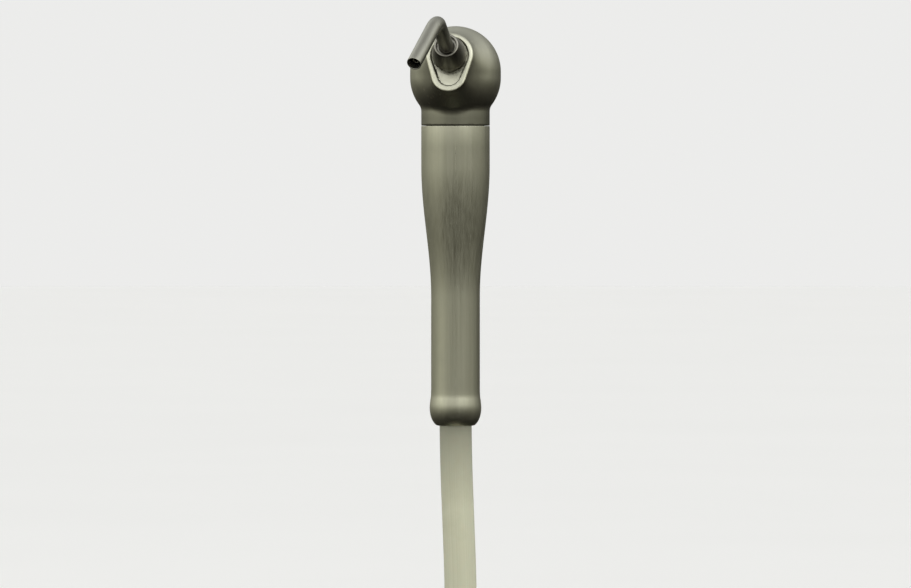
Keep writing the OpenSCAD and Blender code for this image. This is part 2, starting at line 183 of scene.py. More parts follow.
def valve_frame(side):
    turn = Matrix.Rotation(DECK_TILT - math.pi / 2, 4, "X")
    return Matrix.Translation((0, 0, BALL_Z)) @ turn @ Matrix.Translation((side * VALVE_X, 0, 0))


def rounded(corners, arc_steps=5):
    """Outline points from (x, y, radius) corners, each corner rounded by an arc."""
    outline = []
    last = len(corners) - 1
    for i, (x, y, r) in enumerate(corners):
        here = Vector((x, y))
        if r <= 0 or i in (0, last):
            outline.append(here)
            continue
        before = (Vector(corners[i - 1][:2]) - here).normalized()
        after = (Vector(corners[i + 1][:2]) - here).normalized()
        half = before.angle(after) / 2
        reach = r / math.tan(half)
        centre = here + (before + after).normalized() * (r / math.sin(half))
        start = here + before * reach - centre
        sweep = start.angle_signed(here + after * reach - centre)
        for k in range(arc_steps + 1):
            outline.append(centre + Matrix.Rotation(-sweep * k / arc_steps, 2) @ start)
    return [(p.x, p.y) for p in outline]


def lathe(name, outline, place, segments=96):
    """Turns (radius, height) points about the local z axis. The outline is a closed ring, or it
    starts and ends on the axis."""
    on_axis = outline[0][0] < 1e-9 and outline[-1][0] < 1e-9
    vertices, rings, faces = [], [], []
    for r, h in outline:
        if r < 1e-9:
            rings.append([len(vertices)] * segments)
            vertices.append(place @ Vector((0, 0, h)))
            continue
        rings.append([len(vertices) + k for k in range(segments)])
        for k in range(segments):
            a = 2 * math.pi * k / segments
            vertices.append(place @ Vector((r * math.cos(a), r * math.sin(a), h)))
    count = len(rings) if not on_axis else len(rings) - 1
    for i in range(count):
        low, high = rings[i], rings[(i + 1) % len(rings)]
        for k in range(segments):
            n = (k + 1) % segments
            face = []
            for v in (low[k], low[n], high[n], high[k]):
                if v not in face:
                    face.append(v)
            if len(face) > 2:
                faces.append(face)
    return new_object(name, vertices, faces)


def smooth_route(points, spacing):
    """Evenly spaced points on the Catmull-Rom curve through the given ones."""
    ends = [points[0] * 2 - points[1]] + list(points) + [points[-1] * 2 - points[-2]]
    fine = []
    steps = 40
    for i in range(1, len(ends) - 2):
        a, b, c, d = ends[i - 1 : i + 3]
        for k in range(steps):
            t = k / steps
            square = (2 * a - 5 * b + 4 * c - d) * t**2
            cube = (3 * b - a - 3 * c + d) * t**3
            fine.append(0.5 * (2 * b + (c - a) * t + square + cube))
    fine.append(points[-1])
    return resample(fine, spacing)


def resample(points, spacing):
    lengths = [0.0]
    for a, b in zip(points, points[1:]):
        lengths.append(lengths[-1] + (b - a).length)
    count = max(2, round(lengths[-1] / spacing))
    co = np.array([tuple(p) for p in points])
    at = np.linspace(0, lengths[-1], count + 1)
    return [Vector([np.interp(s, lengths, co[:, k]) for k in range(3)]) for s in at]


def path_frames(path):
    """Tangent, side and up at each point, carried along without twist."""
    frames = []
    side = None
    for i in range(len(path)):
        tangent = (path[min(i + 1, len(path) - 1)] - path[max(i - 1, 0)]).normalized()
        if side is None:
            side = Vector((1, 0, 0))
        side = (side - tangent * side.dot(tangent)).normalized()
        frames.append((tangent, side, tangent.cross(side)))
    return frames


def sweep(name, path, sides, radii, inward=None):
    """A closed skin over a path, with one radius for each of its rings. A ring sits on each point
    of the path. For a tube with a bore, inward lists the rings instead, as (point, shift along
    the path), out along the outside and back along the bore."""
    frames = path_frames(path)
    vertices, faces = [], []
    trail = inward or [(i, 0.0) for i in range(len(path))]
    for (i, shift), r in zip(trail, radii):
        tangent, side, up = frames[i]
        for k in range(sides):
            a = 2 * math.pi * k / sides
            vertices.append(path[i] + tangent * shift + (side * math.cos(a) + up * math.sin(a)) * r)
    rings = len(trail)
    for i in range(rings - 1):
        for k in range(sides):
            n = (k + 1) % sides
            faces.append((i * sides + k, i * sides + n, (i + 1) * sides + n, (i + 1) * sides + k))
    if inward is None:
        faces.append(tuple(range(sides))[::-1])
        faces.append(tuple((rings - 1) * sides + k for k in range(sides)))
    else:
        for k in range(sides):
            n = (k + 1) % sides
            faces.append(((rings - 1) * sides + k, (rings - 1) * sides + n, n, k))
    return new_object(name, vertices, faces)


def skin(distance, low, high, step, name):
    """A quad mesh of the surface where distance(points) is zero, by surface nets."""
    low, high = np.array(low), np.array(high)
    count = np.ceil((high - low) / step).astype(int) + 1
    axes = [low[k] + step * np.arange(count[k]) for k in range(3)]
    d = distance(np.stack(np.meshgrid(*axes, indexing="ij"), -1))
    cells = tuple(count - 1)
    total = np.zeros(cells + (3,))
    crossings = np.zeros(cells)
    for axis in range(3):
        b, c = [k for k in range(3) if k != axis]
        for at_b in (0, 1):
            for at_c in (0, 1):
                window = [slice(0, n) for n in cells]
                window[b] = slice(at_b, at_b + cells[b])
                window[c] = slice(at_c, at_c + cells[c])
                onward = list(window)
                onward[axis] = slice(1, 1 + cells[axis])
                d0, d1 = d[tuple(window)], d[tuple(onward)]
                crossed = (d0 < 0) != (d1 < 0)
                t = np.where(crossed, d0 / np.where(crossed, d0 - d1, 1), 0)
                total[..., axis] += np.where(crossed, t, 0)
                total[..., b] += crossed * at_b
                total[..., c] += crossed * at_c
                crossings += crossed
    live = crossings > 0
    index = np.full(cells, -1)
    index[live] = np.arange(live.sum())
    points = low + step * (np.argwhere(live) + total[live] / crossings[live][:, None])
    faces = []
    inside = d < 0
    for axis in range(3):
        b, c = [(axis + 1) % 3, (axis + 2) % 3]
        here = [slice(1, n) for n in cells]
        here[axis] = slice(0, cells[axis])
        onward = list(here)
        onward[axis] = slice(1, 1 + cells[axis])
        first, second = inside[tuple(here)], inside[tuple(onward)]
        for starts_inside in (True, False):
            at = np.argwhere((first != second) & (first == starts_inside))
            at[:, b] += 1
            at[:, c] += 1
            ring = []
            for back_b, back_c in ((1, 1), (0, 1), (0, 0), (1, 0)):
                cell = at.copy()
                cell[:, b] -= back_b
                cell[:, c] -= back_c
                ring.append(index[tuple(cell.T)])
            quad = np.stack(ring if starts_inside else ring[::-1], -1)
            faces.append(quad)
    faces = np.concatenate(faces)
    faces = faces[(faces >= 0).all(1)]
    eps = step * 0.2
    for _ in range(4):
        value = distance(points)
        ahead = np.stack([distance(points + eps * axis) for axis in np.eye(3)], -1)
        back = np.stack([distance(points - eps * axis) for axis in np.eye(3)], -1)
        slope = (ahead - back) / (2 * eps)
        move = slope * (value / np.maximum((slope**2).sum(-1), 0.2))[:, None]
        points = points - np.clip(move, -step / 2, step / 2)
    return new_object(name, points.tolist(), faces.tolist())


def blend_union(a, b, r):
    return np.maximum(r, np.minimum(a, b)) - np.hypot(np.maximum(r - a, 0), np.maximum(r - b, 0))


def blend_meet(a, b, r):
    return -blend_union(-a, -b, r)


def rounded_slab(across, along, r):
    """The solid where across < 0 and along < 0, its edge rounded."""
    a, b = across + r, along + r
    return np.hypot(np.maximum(a, 0), np.maximum(b, 0)) + np.minimum(np.maximum(a, b), 0) - r


def teardrop(x, y, r, toe_r, drop):
    """Distance to a circle of radius r joined to a small one below it."""
    x, y = np.abs(x), -y
    lean = (r - toe_r) / drop
    side = math.sqrt(1 - lean * lean)
    along = -lean * x + side * y
    flank = side * x + lean * y - r
    toe = np.hypot(x, y - drop) - toe_r
    return np.where(along < 0, np.hypot(x, y) - r, np.where(along > side * drop, toe, flank))


# ---------------------------------------------------------------- hose
# Centre lines in millimetres, from inside the grip to the coil and from the coil to the fitting
RUN_ROUTE = [
    (0, 0, -8), (0, 0, -14), (0, 0, -23), (0, 0, -32), (0.1, 0, -41), (0.3, 0, -50), (0.6, 0, -58),
    (0.9, 0, -66), (1.2, 0, -74), (1.4, 0, -82), (1.4, -0.71, -89.5), (1.2, -2.81, -96.73),
    (0.9, -6.23, -103.43), (0.6, -10.84, -109.38), (0.3, -16.49, -114.36), (0, -22.97, -118.19),
]
TAIL_ROUTE = [
    (-9, -41.5, -132), (-9, -49, -142.5), (-9, -54.5, -153.5), (-9, -59, -165.5), (-9, -61.5, -177.5),
    (-9, -62.5, -190),
]
TURN_PITCH = 9.0 * MM
# The coil's six places across its bundle, as (x, radius), in the order that the turns take them
COIL_SLOTS = [
    (0, COIL_R), (TURN_PITCH, COIL_R), (TURN_PITCH, COIL_R - TURN_PITCH), (0, COIL_R - TURN_PITCH),
    (-TURN_PITCH, COIL_R - TURN_PITCH), (-TURN_PITCH, COIL_R),
]
# Where in its turn, in degrees, each turn moves over to the next place, and over how many degrees
COIL_MOVES = [(232, 56), (144, 88), (86, 60), (86, 60), (48, 88)]
# Angles, in degrees, at which the hose joins the coil and leaves it
COIL_JOIN = 64.8
COIL_LEAVE = 40.0
HOSE_STEP = 2.5 * MM
HOSE_SIDES = 28


def coil_point(turned):
    """A point of the coil's centre line, so many degrees on from where the hose joins it."""
    turn = min(int(turned // 360), len(COIL_SLOTS) - 1)
    x, r = COIL_SLOTS[turn]
    if turn < len(COIL_MOVES):
        start, width = COIL_MOVES[turn]
        t = min(1, max(0, (turned - 360 * turn - start) / width))
        ease = (1 - math.cos(math.pi * t)) / 2
        next_x, next_r = COIL_SLOTS[turn + 1]
        x += (next_x - x) * ease
        r += (next_r - r) * ease
    a = math.radians(COIL_JOIN - turned)
    return Vector((x, -r * math.cos(a), COIL_Z + r * math.sin(a)))


def hose_centreline():
    last = 360 * (len(COIL_SLOTS) - 1) + COIL_JOIN - COIL_LEAVE
    step = 6
    turns = [coil_point(step * i) for i in range(1, int(last / step))]
    run = [Vector(p) * MM for p in RUN_ROUTE]
    tail = [Vector(p) * MM for p in TAIL_ROUTE]
    return smooth_route(run + turns + tail, HOSE_STEP)


def make_hose():
    """The hose, and its own coordinates in an attribute: around it, and along it."""
    path = hose_centreline()
    hose = sweep("hose", path, HOSE_SIDES, [HOSE_D / 2] * len(path))
    around = hose.data.attributes.new("around", "FLOAT_VECTOR", "POINT")
    values = []
    for i in range(len(path)):
        for k in range(HOSE_SIDES):
            a = 2 * math.pi * k / HOSE_SIDES
            values += [math.cos(a), math.sin(a), i * HOSE_STEP]
    around.data.foreach_set("vector", values)
    return hose, path


hose, hose_path = make_hose()
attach(hose, "syringe_body")
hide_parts("hose_run", "hose_coil", "hose_tail")
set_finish(hose, "hose_jacket")


# ---------------------------------------------------------------- coil ties
TIE_W = 12.0 * MM
TIE_T = 1.1 * MM
TIE_EDGE = 0.25 * MM
LAP_T = 0.9 * MM
LAP_END_T = 0.3 * MM
TIES = (("tie_upper", 58, "coil_tie_upper"), ("tie_lower", -90, "coil_tie_lower"))


def bundle_outline(grow, steps=8):
    """Outline of the bundle of turns, grown outwards: its x and its outward offset."""
    half_x, half_r, corner = 1.5 * TURN_PITCH, TURN_PITCH, HOSE_D / 2
    points = []
    for cx, cr, start in ((1, 1, 0), (-1, 1, 90), (-1, -1, 180), (1, -1, 270)):
        for k in range(steps + 1):
            a = math.radians(start + 90 * k / steps)
            points.append(
                (
                    cx * (half_x - corner) + (corner + grow) * math.cos(a),
                    cr * (half_r - corner) + (corner + grow) * math.sin(a),
                )
            )
    return points


def make_tie(name, angle):
    """A hook-and-loop strap round the bundle, its free end lapped over the outer side."""
    rows = 7
    inner, outer = bundle_outline(0.15 * MM), bundle_outline(TIE_T)
    count = len(inner)
    turn = Matrix.Translation((0, 0, COIL_Z)) @ Matrix.Rotation(math.radians(-angle), 4, "X")
    vertices, faces = [], []
    loop = []
    for row in range(rows):
        t = 2 * row / (rows - 1) - 1
        edge = TIE_EDGE * max(0, abs(t) - 0.8) / 0.2
        loop.append((t * TIE_W / 2, edge))
    section = [(z, False, edge) for z, edge in loop] + [(z, True, edge) for z, edge in reversed(loop)]
    for k in range(count):
        for z, is_inner, edge in section:
            bow = z * z / (2 * COIL_R)
            x, r = inner[k] if is_inner else outer[k]
            pull = 0 if is_inner else edge
            x -= math.copysign(pull, x)
            vertices.append(turn @ Vector((x, -(COIL_R - TURN_PITCH / 2 + r - bow), z)))
    ring = len(section)
    for k in range(count):
        n = (k + 1) % count
        for j in range(ring):
            m = (j + 1) % ring
            faces.append((k * ring + j, k * ring + m, n * ring + m, n * ring + j))
    lap_start = len(vertices)
    lap_steps = 10
    outside = TURN_PITCH + TIE_T
    foot, crest = TIE_W / 2 - 0.2 * MM, TIE_W / 2 - 0.4 * MM
    for i in range(lap_steps + 1):
        x = (-8 + 17 * i / lap_steps) * MM
        thick = LAP_END_T if i == 0 else max(LAP_T * min(1, 1.4 - i / lap_steps), LAP_END_T)
        top = 0.05 * MM + thick
        for z, lift in ((-foot, 0), (foot, 0), (crest, top), (-crest, top)):
            bow = z * z / (2 * COIL_R)
            r = COIL_R - TURN_PITCH / 2 + outside - bow - 0.02 * MM + lift
            vertices.append(turn @ Vector((x, -r, z)))
    for i in range(lap_steps):
        for j in range(4):
            m = (j + 1) % 4
            a = lap_start + 4 * i
            faces.append((a + j, a + m, a + 4 + m, a + 4 + j))
    faces.append(tuple(lap_start + j for j in (3, 2, 1, 0)))
    faces.append(tuple(lap_start + 4 * lap_steps + j for j in range(4)))
    tie = new_object(name, vertices, faces)
    tie.data.set_sharp_from_angle(angle=math.radians(50))
    return tie


for tie_name, tie_angle, tie_node in TIES:
    tie = make_tie(tie_name, tie_angle)
    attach(tie, "syringe_body")
    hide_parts(tie_node)
    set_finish(tie, "strap")


# ---------------------------------------------------------------- far end of the hose
PLUG_PIN_R = 6.0 * MM
PLUG_FLANGE_R = 7.4 * MM
PLUG_FLANGE_H = 3.0 * MM
PLUG_END_H = 13.6 * MM
PLUG_GROOVE_R = 5.2 * MM
PLUG_GROOVE = (11.4 * MM, 13.0 * MM)
PLUG_FLUTES = 24
PLUG_FLUTE_T = 0.35 * MM
OUTLET_X = 2.6 * MM


def make_unit_end():
    place = Matrix.Translation(PLUG_AT) @ Matrix.Rotation(math.pi, 4, "X")
    r = HOSE_D / 2
    ridge, groove = r + 0.9 * MM, r + 0.55 * MM
    sleeve_outline = [(r + 0.02 * MM, -9 * MM), (r + 0.3 * MM, -9 * MM)]
    for i in range(4):
        h = (-8.2 + 2.0 * i) * MM
        sleeve_outline += [(ridge, h), (ridge, h + 1.2 * MM)]
        sleeve_outline += [(groove, h + 1.5 * MM), (groove, h + 1.8 * MM)]
    sleeve_outline += [(ridge, -0.2 * MM), (ridge, 0), (r + 0.02 * MM, 0)]
    sleeve = lathe("unit_end_crimp", sleeve_outline, place, 72)
    sleeve.data.set_sharp_from_angle(angle=math.radians(40))
    body_outline = rounded(
        [
            (0, 0.03 * MM, 0),
            (PLUG_FLANGE_R, 0.03 * MM, 0.5 * MM),
            (PLUG_FLANGE_R, PLUG_FLANGE_H, 0.5 * MM),
            (PLUG_PIN_R, PLUG_FLANGE_H, 0.2 * MM),
            (PLUG_PIN_R, PLUG_GROOVE[0], 0.12 * MM),
            (PLUG_GROOVE_R, PLUG_GROOVE[0], 0.12 * MM),
            (PLUG_GROOVE_R, PLUG_GROOVE[1], 0.12 * MM),
            (PLUG_PIN_R, PLUG_GROOVE[1], 0.12 * MM),
            (PLUG_PIN_R, PLUG_END_H, 0.3 * MM),
            (0, PLUG_END_H, 0),
        ]
    )
    plug = lathe("unit_end_body", body_outline, place, 96)
    for v in plug.data.vertices:
        local = place.inverted() @ v.co
        radius = math.hypot(local.x, local.y)
        if radius > PLUG_FLANGE_R - 0.4 * MM:
            wave = 0.5 - 0.5 * math.cos(PLUG_FLUTES * math.atan2(local.y, local.x))
            pull = 1 - PLUG_FLUTE_T * wave / radius
            v.co = place @ Vector((local.x * pull, local.y * pull, local.z))
    plug.data.set_sharp_from_angle(angle=math.radians(40))
    outlets = []
    for side in (-1, 1):
        outline = rounded(
            [
                (0.7 * MM, 12 * MM, 0),
                (1.4 * MM, 12 * MM, 0.05 * MM),
                (1.4 * MM, 14.4 * MM, 0.1 * MM),
                (1.15 * MM, 14.8 * MM, 0.1 * MM),
                (1.15 * MM, 15.4 * MM, 0.1 * MM),
                (1.4 * MM, 15.5 * MM, 0.05 * MM),
                (0.95 * MM, 17 * MM, 0.15 * MM),
                (0.7 * MM, 17 * MM, 0),
            ]
        )
        name = "unit_end_outlet_water" if side < 0 else "unit_end_outlet_air"
        tube = lathe(name, outline, place @ Matrix.Translation((side * OUTLET_X, 0, 0)), 40)
        tube.data.set_sharp_from_angle(angle=math.radians(40))
        outlets.append(tube)
    return sleeve, plug, outlets


crimp, plug, outlets = make_unit_end()
for piece in (crimp, plug, *outlets):
    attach(piece, "syringe_body")
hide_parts("unit_end_sleeve")
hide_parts("unit_end_plug")
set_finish(crimp, "stainless")
for piece in (plug, *outlets):
    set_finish(piece, "brass")


# ---------------------------------------------------------------- head
def nozzle_coordinates(p):
    """Across, up and along, as the nozzle sees the points."""
    y, z = p[..., 1], p[..., 2] - BALL_Z
    c, s = math.cos(NOZZLE_TILT), math.sin(NOZZLE_TILT)
    return p[..., 0], y * s + z * c, z * s - y * c


def head_distance(p):
    """Ball, neck and nose blended together, less the well, the bores and the valve deck."""
    x, y, z = p[..., 0], p[..., 1], p[..., 2]
    rho = np.hypot(x, y)
    ball = np.hypot(rho, z - np.clip(z, BALL_LOW_Z, BALL_Z)) - BALL_R
    reach = BALL_R + NECK_FILLET_R
    fillet_x = GRIP_TOP_R + NECK_FILLET_R
    fillet_z = BALL_LOW_Z - math.sqrt(reach**2 - fillet_x**2)
    fillet = NECK_FILLET_R - np.hypot(rho - fillet_x, z - fillet_z)
    neck = rounded_slab(rho - GRIP_TOP_R, SEAM_Z + 0.05 * MM - z, 0.15 * MM)
    slope = (BALL_LOW_Z - fillet_z) / fillet_x
    is_neck = z - BALL_LOW_Z < -slope * rho
    fillet = np.where(rho < fillet_x, fillet, rho - GRIP_TOP_R)
    body = np.where(is_neck, np.where(z < fillet_z, neck, fillet), ball)
    across, up, along = nozzle_coordinates(p)
    outline = teardrop(across, up, NOSE_R, TOE_R, TOE_DROP)
    nose = rounded_slab(outline, np.abs(along - NOSE_MID_S) - (NOSE_S - NOSE_MID_S), 0.35 * MM)
    body = blend_union(body, nose, NOSE_BLEND_R)
    well_toe_r = TOE_R - POCKET_RIM - 0.5 * MM
    well = teardrop(across, up, NOSE_R - POCKET_RIM, well_toe_r, TOE_DROP - 0.2 * MM)
    body = blend_meet(body, -np.maximum(well, POCKET_S - along), 0.3 * MM)
    bore = np.maximum(np.hypot(across, up) - NUT_BORE_R, NUT_BORE_S - along)
    body = np.maximum(body, -bore)
    w = y * math.cos(DECK_TILT) + (z - BALL_Z) * math.sin(DECK_TILT)
    body = blend_meet(body, w - DECK_W, 0.7 * MM)
    down = y * math.sin(DECK_TILT) - (z - BALL_Z) * math.cos(DECK_TILT)
    for side in (-1, 1):
        valve = np.maximum(np.hypot(x - side * VALVE_X, down) - VALVE_BORE_R, VALVE_BORE_W - w)
        body = np.maximum(body, -valve)
    spigot_length = np.abs(z - SPIGOT_MID_Z) - (SPIGOT_MID_Z - SPIGOT_Z)
    return np.minimum(body, rounded_slab(rho - SPIGOT_R, spigot_length, 0.3 * MM))


def make_head():
    step = 0.3 * MM
    edge = 13.7 * MM
    low, high = (-edge, -18.4 * MM, SPIGOT_Z - 2 * step), (edge, edge, BALL_Z + edge)
    head = skin(head_distance, low, high, step, "head")
    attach(head, "syringe_body")
    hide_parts("head_body")
    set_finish(head, "satin_metal")


make_head()


# ---------------------------------------------------------------- grip
def grip_outline():
    """The sleeve's section: outside, end lip, hose exit, bore and socket, as a closed ring."""
    steps = 40
    edge = 0.12 * MM
    top = SEAM_Z - 0.05 * MM
    outside = [(GRIP_TOP_R - edge, top)]
    for k in range(1, 6):
        a = math.radians(90 * k / 5)
        outside.append((GRIP_TOP_R - edge * (1 - math.sin(a)), top - edge * (1 - math.cos(a))))
    outside.append((GRIP_TOP_R, 41 * MM))
    for i in range(steps + 1):
        t = i / steps
        r = GRIP_LOW_R + (GRIP_TOP_R - GRIP_LOW_R) * (1 + math.cos(math.pi * t)) / 2
        outside.append((r, TAPER_TOP_Z + (TAPER_END_Z - TAPER_TOP_Z) * t))
    bead = [
        (6.8, -26.5), (6.86, -28.3), (7.05, -29.8), (7.2, -31.2), (7.19, -32.4), (7.02, -33.6),
        (6.66, -34.8), (6.12, -35.8), (5.6, -36.4), (5.15, -36.68), (4.85, -36.6), (4.68, -36.2),
        (4.62, -35.4),
    ]
    knots = [Vector((r, z, 0)) * MM for r, z in bead]
    outside += [(p.x, p.y) for p in smooth_route(knots, 0.35 * MM)]
    inside = [
        (HOSE_EXIT_R, GRIP_BORE_Z), (GRIP_BORE_R, GRIP_BORE_Z), (GRIP_BORE_R, SOCKET_Z),
        (SOCKET_R, SOCKET_Z), (SOCKET_R, SEAM_Z - 0.3 * MM), (SOCKET_R + 0.2 * MM, top),
    ]
    return outside + inside


grip = lathe("grip", grip_outline(), Matrix.Identity(4), 144)
grip.data.set_sharp_from_angle(angle=math.radians(35))
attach(grip, "syringe_body")
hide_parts("grip_sleeve")
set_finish(grip, "satin_metal")


# ---------------------------------------------------------------- locking nut
def nut_distance(p):
    """In the nozzle's own frame."""
    x, y, s = p[..., 0], p[..., 1], p[..., 2]
    rho = np.hypot(x, y)
    stem_length = np.abs(s - NUT_MID_S) - (NUT_MID_S - NUT_START_S)
    stem = rounded_slab(rho - NUT_BORE_R + RUN_GAP, stem_length, 0.2 * MM)
    collar_mid, collar_half = (NUT_HEX_S + NUT_COLLAR_S) / 2, (NUT_COLLAR_S - NUT_HEX_S) / 2
    collar = rounded_slab(rho - NUT_R, np.abs(s - collar_mid) - collar_half, 0.2 * MM)
    flats = np.full(rho.shape, -1.0)
    for k in range(6):
        a = math.radians(60 * k)
        flats = np.maximum(flats, x * math.cos(a) + y * math.sin(a) - (NUT_R - 0.42 * MM))
    at_flats = s < NUT_COLLAR_S - 0.4 * MM
    hexagon = blend_meet(collar, np.where(at_flats, flats, flats - 1 * MM), 0.1 * MM)
    lean = (NUT_R - NUT_MOUTH_R) / (NUT_MOUTH_S - NUT_COLLAR_S)
    flank = (rho - NUT_R + lean * (s - NUT_COLLAR_S)) / math.hypot(1, lean)
    overlap = 0.2 * MM
    cone_mid, cone_half = (NUT_COLLAR_S + NUT_MOUTH_S) / 2, (NUT_MOUTH_S - NUT_COLLAR_S) / 2
    cone = rounded_slab(flank, np.abs(s - cone_mid + overlap) - cone_half - overlap, 0.25 * MM)
    body = np.minimum(np.minimum(stem, hexagon), cone)
    bore = rho - TIP_R - RUN_GAP
    mouth = np.maximum(rho - NUT_MOUTH_R + 0.65 * MM, NUT_MOUTH_S - 1.4 * MM - s)
    return np.maximum(blend_meet(body, -mouth, 0.15 * MM), -bore)


def make_nut():
    reach = NUT_R + 0.4 * MM
    low, high = (-reach, -reach, NUT_START_S - 0.4 * MM), (reach, reach, NUT_MOUTH_S + 0.5 * MM)
    nut = skin(nut_distance, low, high, 0.16 * MM, "nut")
    nut.data.transform(nozzle_frame())
    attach(nut, "locking_nut")
    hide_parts("nozzle_nut")
    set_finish(nut, "nut_metal")


make_nut()


# ---------------------------------------------------------------- tip
def tip_path(start, leg):
    """The tip's centre line in the nozzle's frame: straight, bend, straight."""
    straight = (start, (start + TIP_BEND_S) / 2, TIP_BEND_S - 0.5 * MM)
    points = [Vector((0, 0, s)) for s in straight]
    bend_steps = 28
    for i in range(bend_steps + 1):
        a = TIP_BEND * i / bend_steps
        points.append(Vector((0, TIP_BEND_R * (math.cos(a) - 1), TIP_BEND_S + TIP_BEND_R * math.sin(a))))
    onward = Vector((0, -math.sin(TIP_BEND), math.cos(TIP_BEND)))
    corner = points[-1]
    points.append(corner + onward * leg * 0.5)
    points.append(corner + onward * leg)
    place = nozzle_frame() @ Matrix.Rotation(-TIP_SPIN, 4, "Z")
    return [place @ p for p in points]


def make_tip_tube(name, start, leg, outer, bore, sides):
    """A thin tube with round lips, its bore open at both ends."""
    path = tip_path(start, leg)
    last = len(path) - 1
    lip = (outer - bore) / 2
    middle = (outer + bore) / 2
    trail = [(i, 0.0) for i in range(last)]
    radii = [outer] * last
    for k in range(7):
        a = math.pi * k / 6
        trail.append((last, lip * math.sin(a) - lip))
        radii.append(middle + lip * math.cos(a))
    for i in range(last - 1, -1, -1):
        trail.append((i, 0.0))
        radii.append(bore)
    tube = sweep(name, path, sides, radii, trail)
    tube.data.set_sharp_from_angle(angle=math.radians(60))
    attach(tube, "tip")
    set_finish(tube, "tip_metal")
    return tube


air_tube = make_tip_tube("tip_tube", TIP_START_S, TIP_LEG, TIP_R, TIP_BORE_R, 56)
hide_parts("tip_air_tube")
water_leg = TIP_LEG - WATER_TUBE_INSET
water_tube = make_tip_tube("tip_inner_tube", WATER_TUBE_S, water_leg, WATER_TUBE_R, WATER_BORE_R, 32)
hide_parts("tip_water_tube")


# ---------------------------------------------------------------- buttons
def button_outline():
    """Skirt, round shoulder and a dished top with raised rings for the fingertip."""
    corners = [
        (0, BUTTON_LOW_W + 0.9 * MM, 0),
        (BUTTON_R - 0.9 * MM, BUTTON_LOW_W + 0.9 * MM, 0.2 * MM),
        (BUTTON_R - 0.9 * MM, BUTTON_LOW_W, 0.1 * MM),
        (BUTTON_R, BUTTON_LOW_W, 0.15 * MM),
        (BUTTON_R, BUTTON_TOP_W, 0.7 * MM),
        (3.0 * MM, BUTTON_TOP_W, 0.3 * MM),
        (2.7 * MM, BUTTON_TOP_W - 0.35 * MM, 0.15 * MM),
        (2.3 * MM, BUTTON_TOP_W - 0.35 * MM, 0.1 * MM),
        (2.15 * MM, BUTTON_TOP_W - 0.1 * MM, 0.1 * MM),
        (1.75 * MM, BUTTON_TOP_W - 0.1 * MM, 0.1 * MM),
        (1.6 * MM, BUTTON_TOP_W - 0.45 * MM, 0.1 * MM),
        (1.1 * MM, BUTTON_TOP_W - 0.45 * MM, 0.1 * MM),
        (0.9 * MM, BUTTON_TOP_W - 0.2 * MM, 0.1 * MM),
        (0, BUTTON_TOP_W - 0.2 * MM, 0),
    ]
    return rounded(corners)


for side, kind in ((1, "air"), (-1, "water")):
    cap = lathe(f"{kind}_cap", button_outline(), valve_frame(side), 80)
    cap.data.set_sharp_from_angle(angle=math.radians(50))
    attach(cap, f"{kind}_valve")
    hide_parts(f"{kind}_button")
    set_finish(cap, f"{kind}_cap")


# ---------------------------------------------------------------- materials
class Shader:
    """One node material, with short calls for the nodes that the recipes below share."""

    def __init__(self, name, colour, roughness, metallic=0.0):
        self.material = bpy.data.materials.new(name)
        self.material.use_nodes = True
        self.tree = self.material.node_tree
        self.surface = self.tree.nodes["Principled BSDF"]
        self.surface.inputs["Metallic"].default_value = metallic
        self.surface.inputs["Roughness"].default_value = roughness
        self.surface.inputs["Base Color"].default_value = (*colour, 1)
        self.object_co = self.add("ShaderNodeTexCoord").outputs["Object"]

    def add(self, kind, **values):
        node = self.tree.nodes.new(kind)
        for key, value in values.items():
            setattr(node, key, value)
        return node

    def link(self, source, target):
        self.tree.links.new(source, target)

    def noise(self, scale, detail=4.0, stretch=(1, 1, 1), source=None, roughness=0.6):
        mapping = self.add("ShaderNodeMapping")
        mapping.inputs["Scale"].default_value = stretch
        self.link(source or self.object_co, mapping.inputs["Vector"])
        texture = self.add("ShaderNodeTexNoise")
        texture.inputs["Scale"].default_value = scale
        texture.inputs["Detail"].default_value = detail
        texture.inputs["Roughness"].default_value = roughness
        self.link(mapping.outputs["Vector"], texture.inputs["Vector"])
        return texture.outputs["Fac"]

    def remap(self, value, low, high, to_low, to_high):
        node = self.add("ShaderNodeMapRange")
        for name, number in (("From Min", low), ("From Max", high), ("To Min", to_low), ("To Max", to_high)):
            node.inputs[name].default_value = number
        self.link(value, node.inputs["Value"])
        return node.outputs["Result"]

    def mix(self, factor, first, second):
        node = self.add("ShaderNodeMix", data_type="RGBA")
        self.link(factor, node.inputs["Factor"])
        for socket, value in ((node.inputs[6], first), (node.inputs[7], second)):
            if isinstance(value, tuple):
                socket.default_value = (*value, 1)
            else:
                self.link(value, socket)
        return node.outputs[2]

    def math(self, operation, first, second):
        node = self.add("ShaderNodeMath", operation=operation)
        for socket, value in ((node.inputs[0], first), (node.inputs[1], second)):
            if isinstance(value, (int, float)):
                socket.default_value = value
            else:
                self.link(value, socket)
        return node.outputs[0]

    def bump(self, height, strength, distance, after=None):
        node = self.add("ShaderNodeBump")
        node.inputs["Strength"].default_value = strength
        node.inputs["Distance"].default_value = distance
        self.link(height, node.inputs["Height"])
        if after is not None:
            self.link(after, node.inputs["Normal"])
        return node.outputs["Normal"]

    def finish(self, colour=None, roughness=None, normal=None):
        for name, value in (("Base Color", colour), ("Roughness", roughness), ("Normal", normal)):
            if value is not None:
                self.link(value, self.surface.inputs[name])
        return self.material


def shade(colour, factor):
    return tuple(min(1, c * factor) for c in colour)


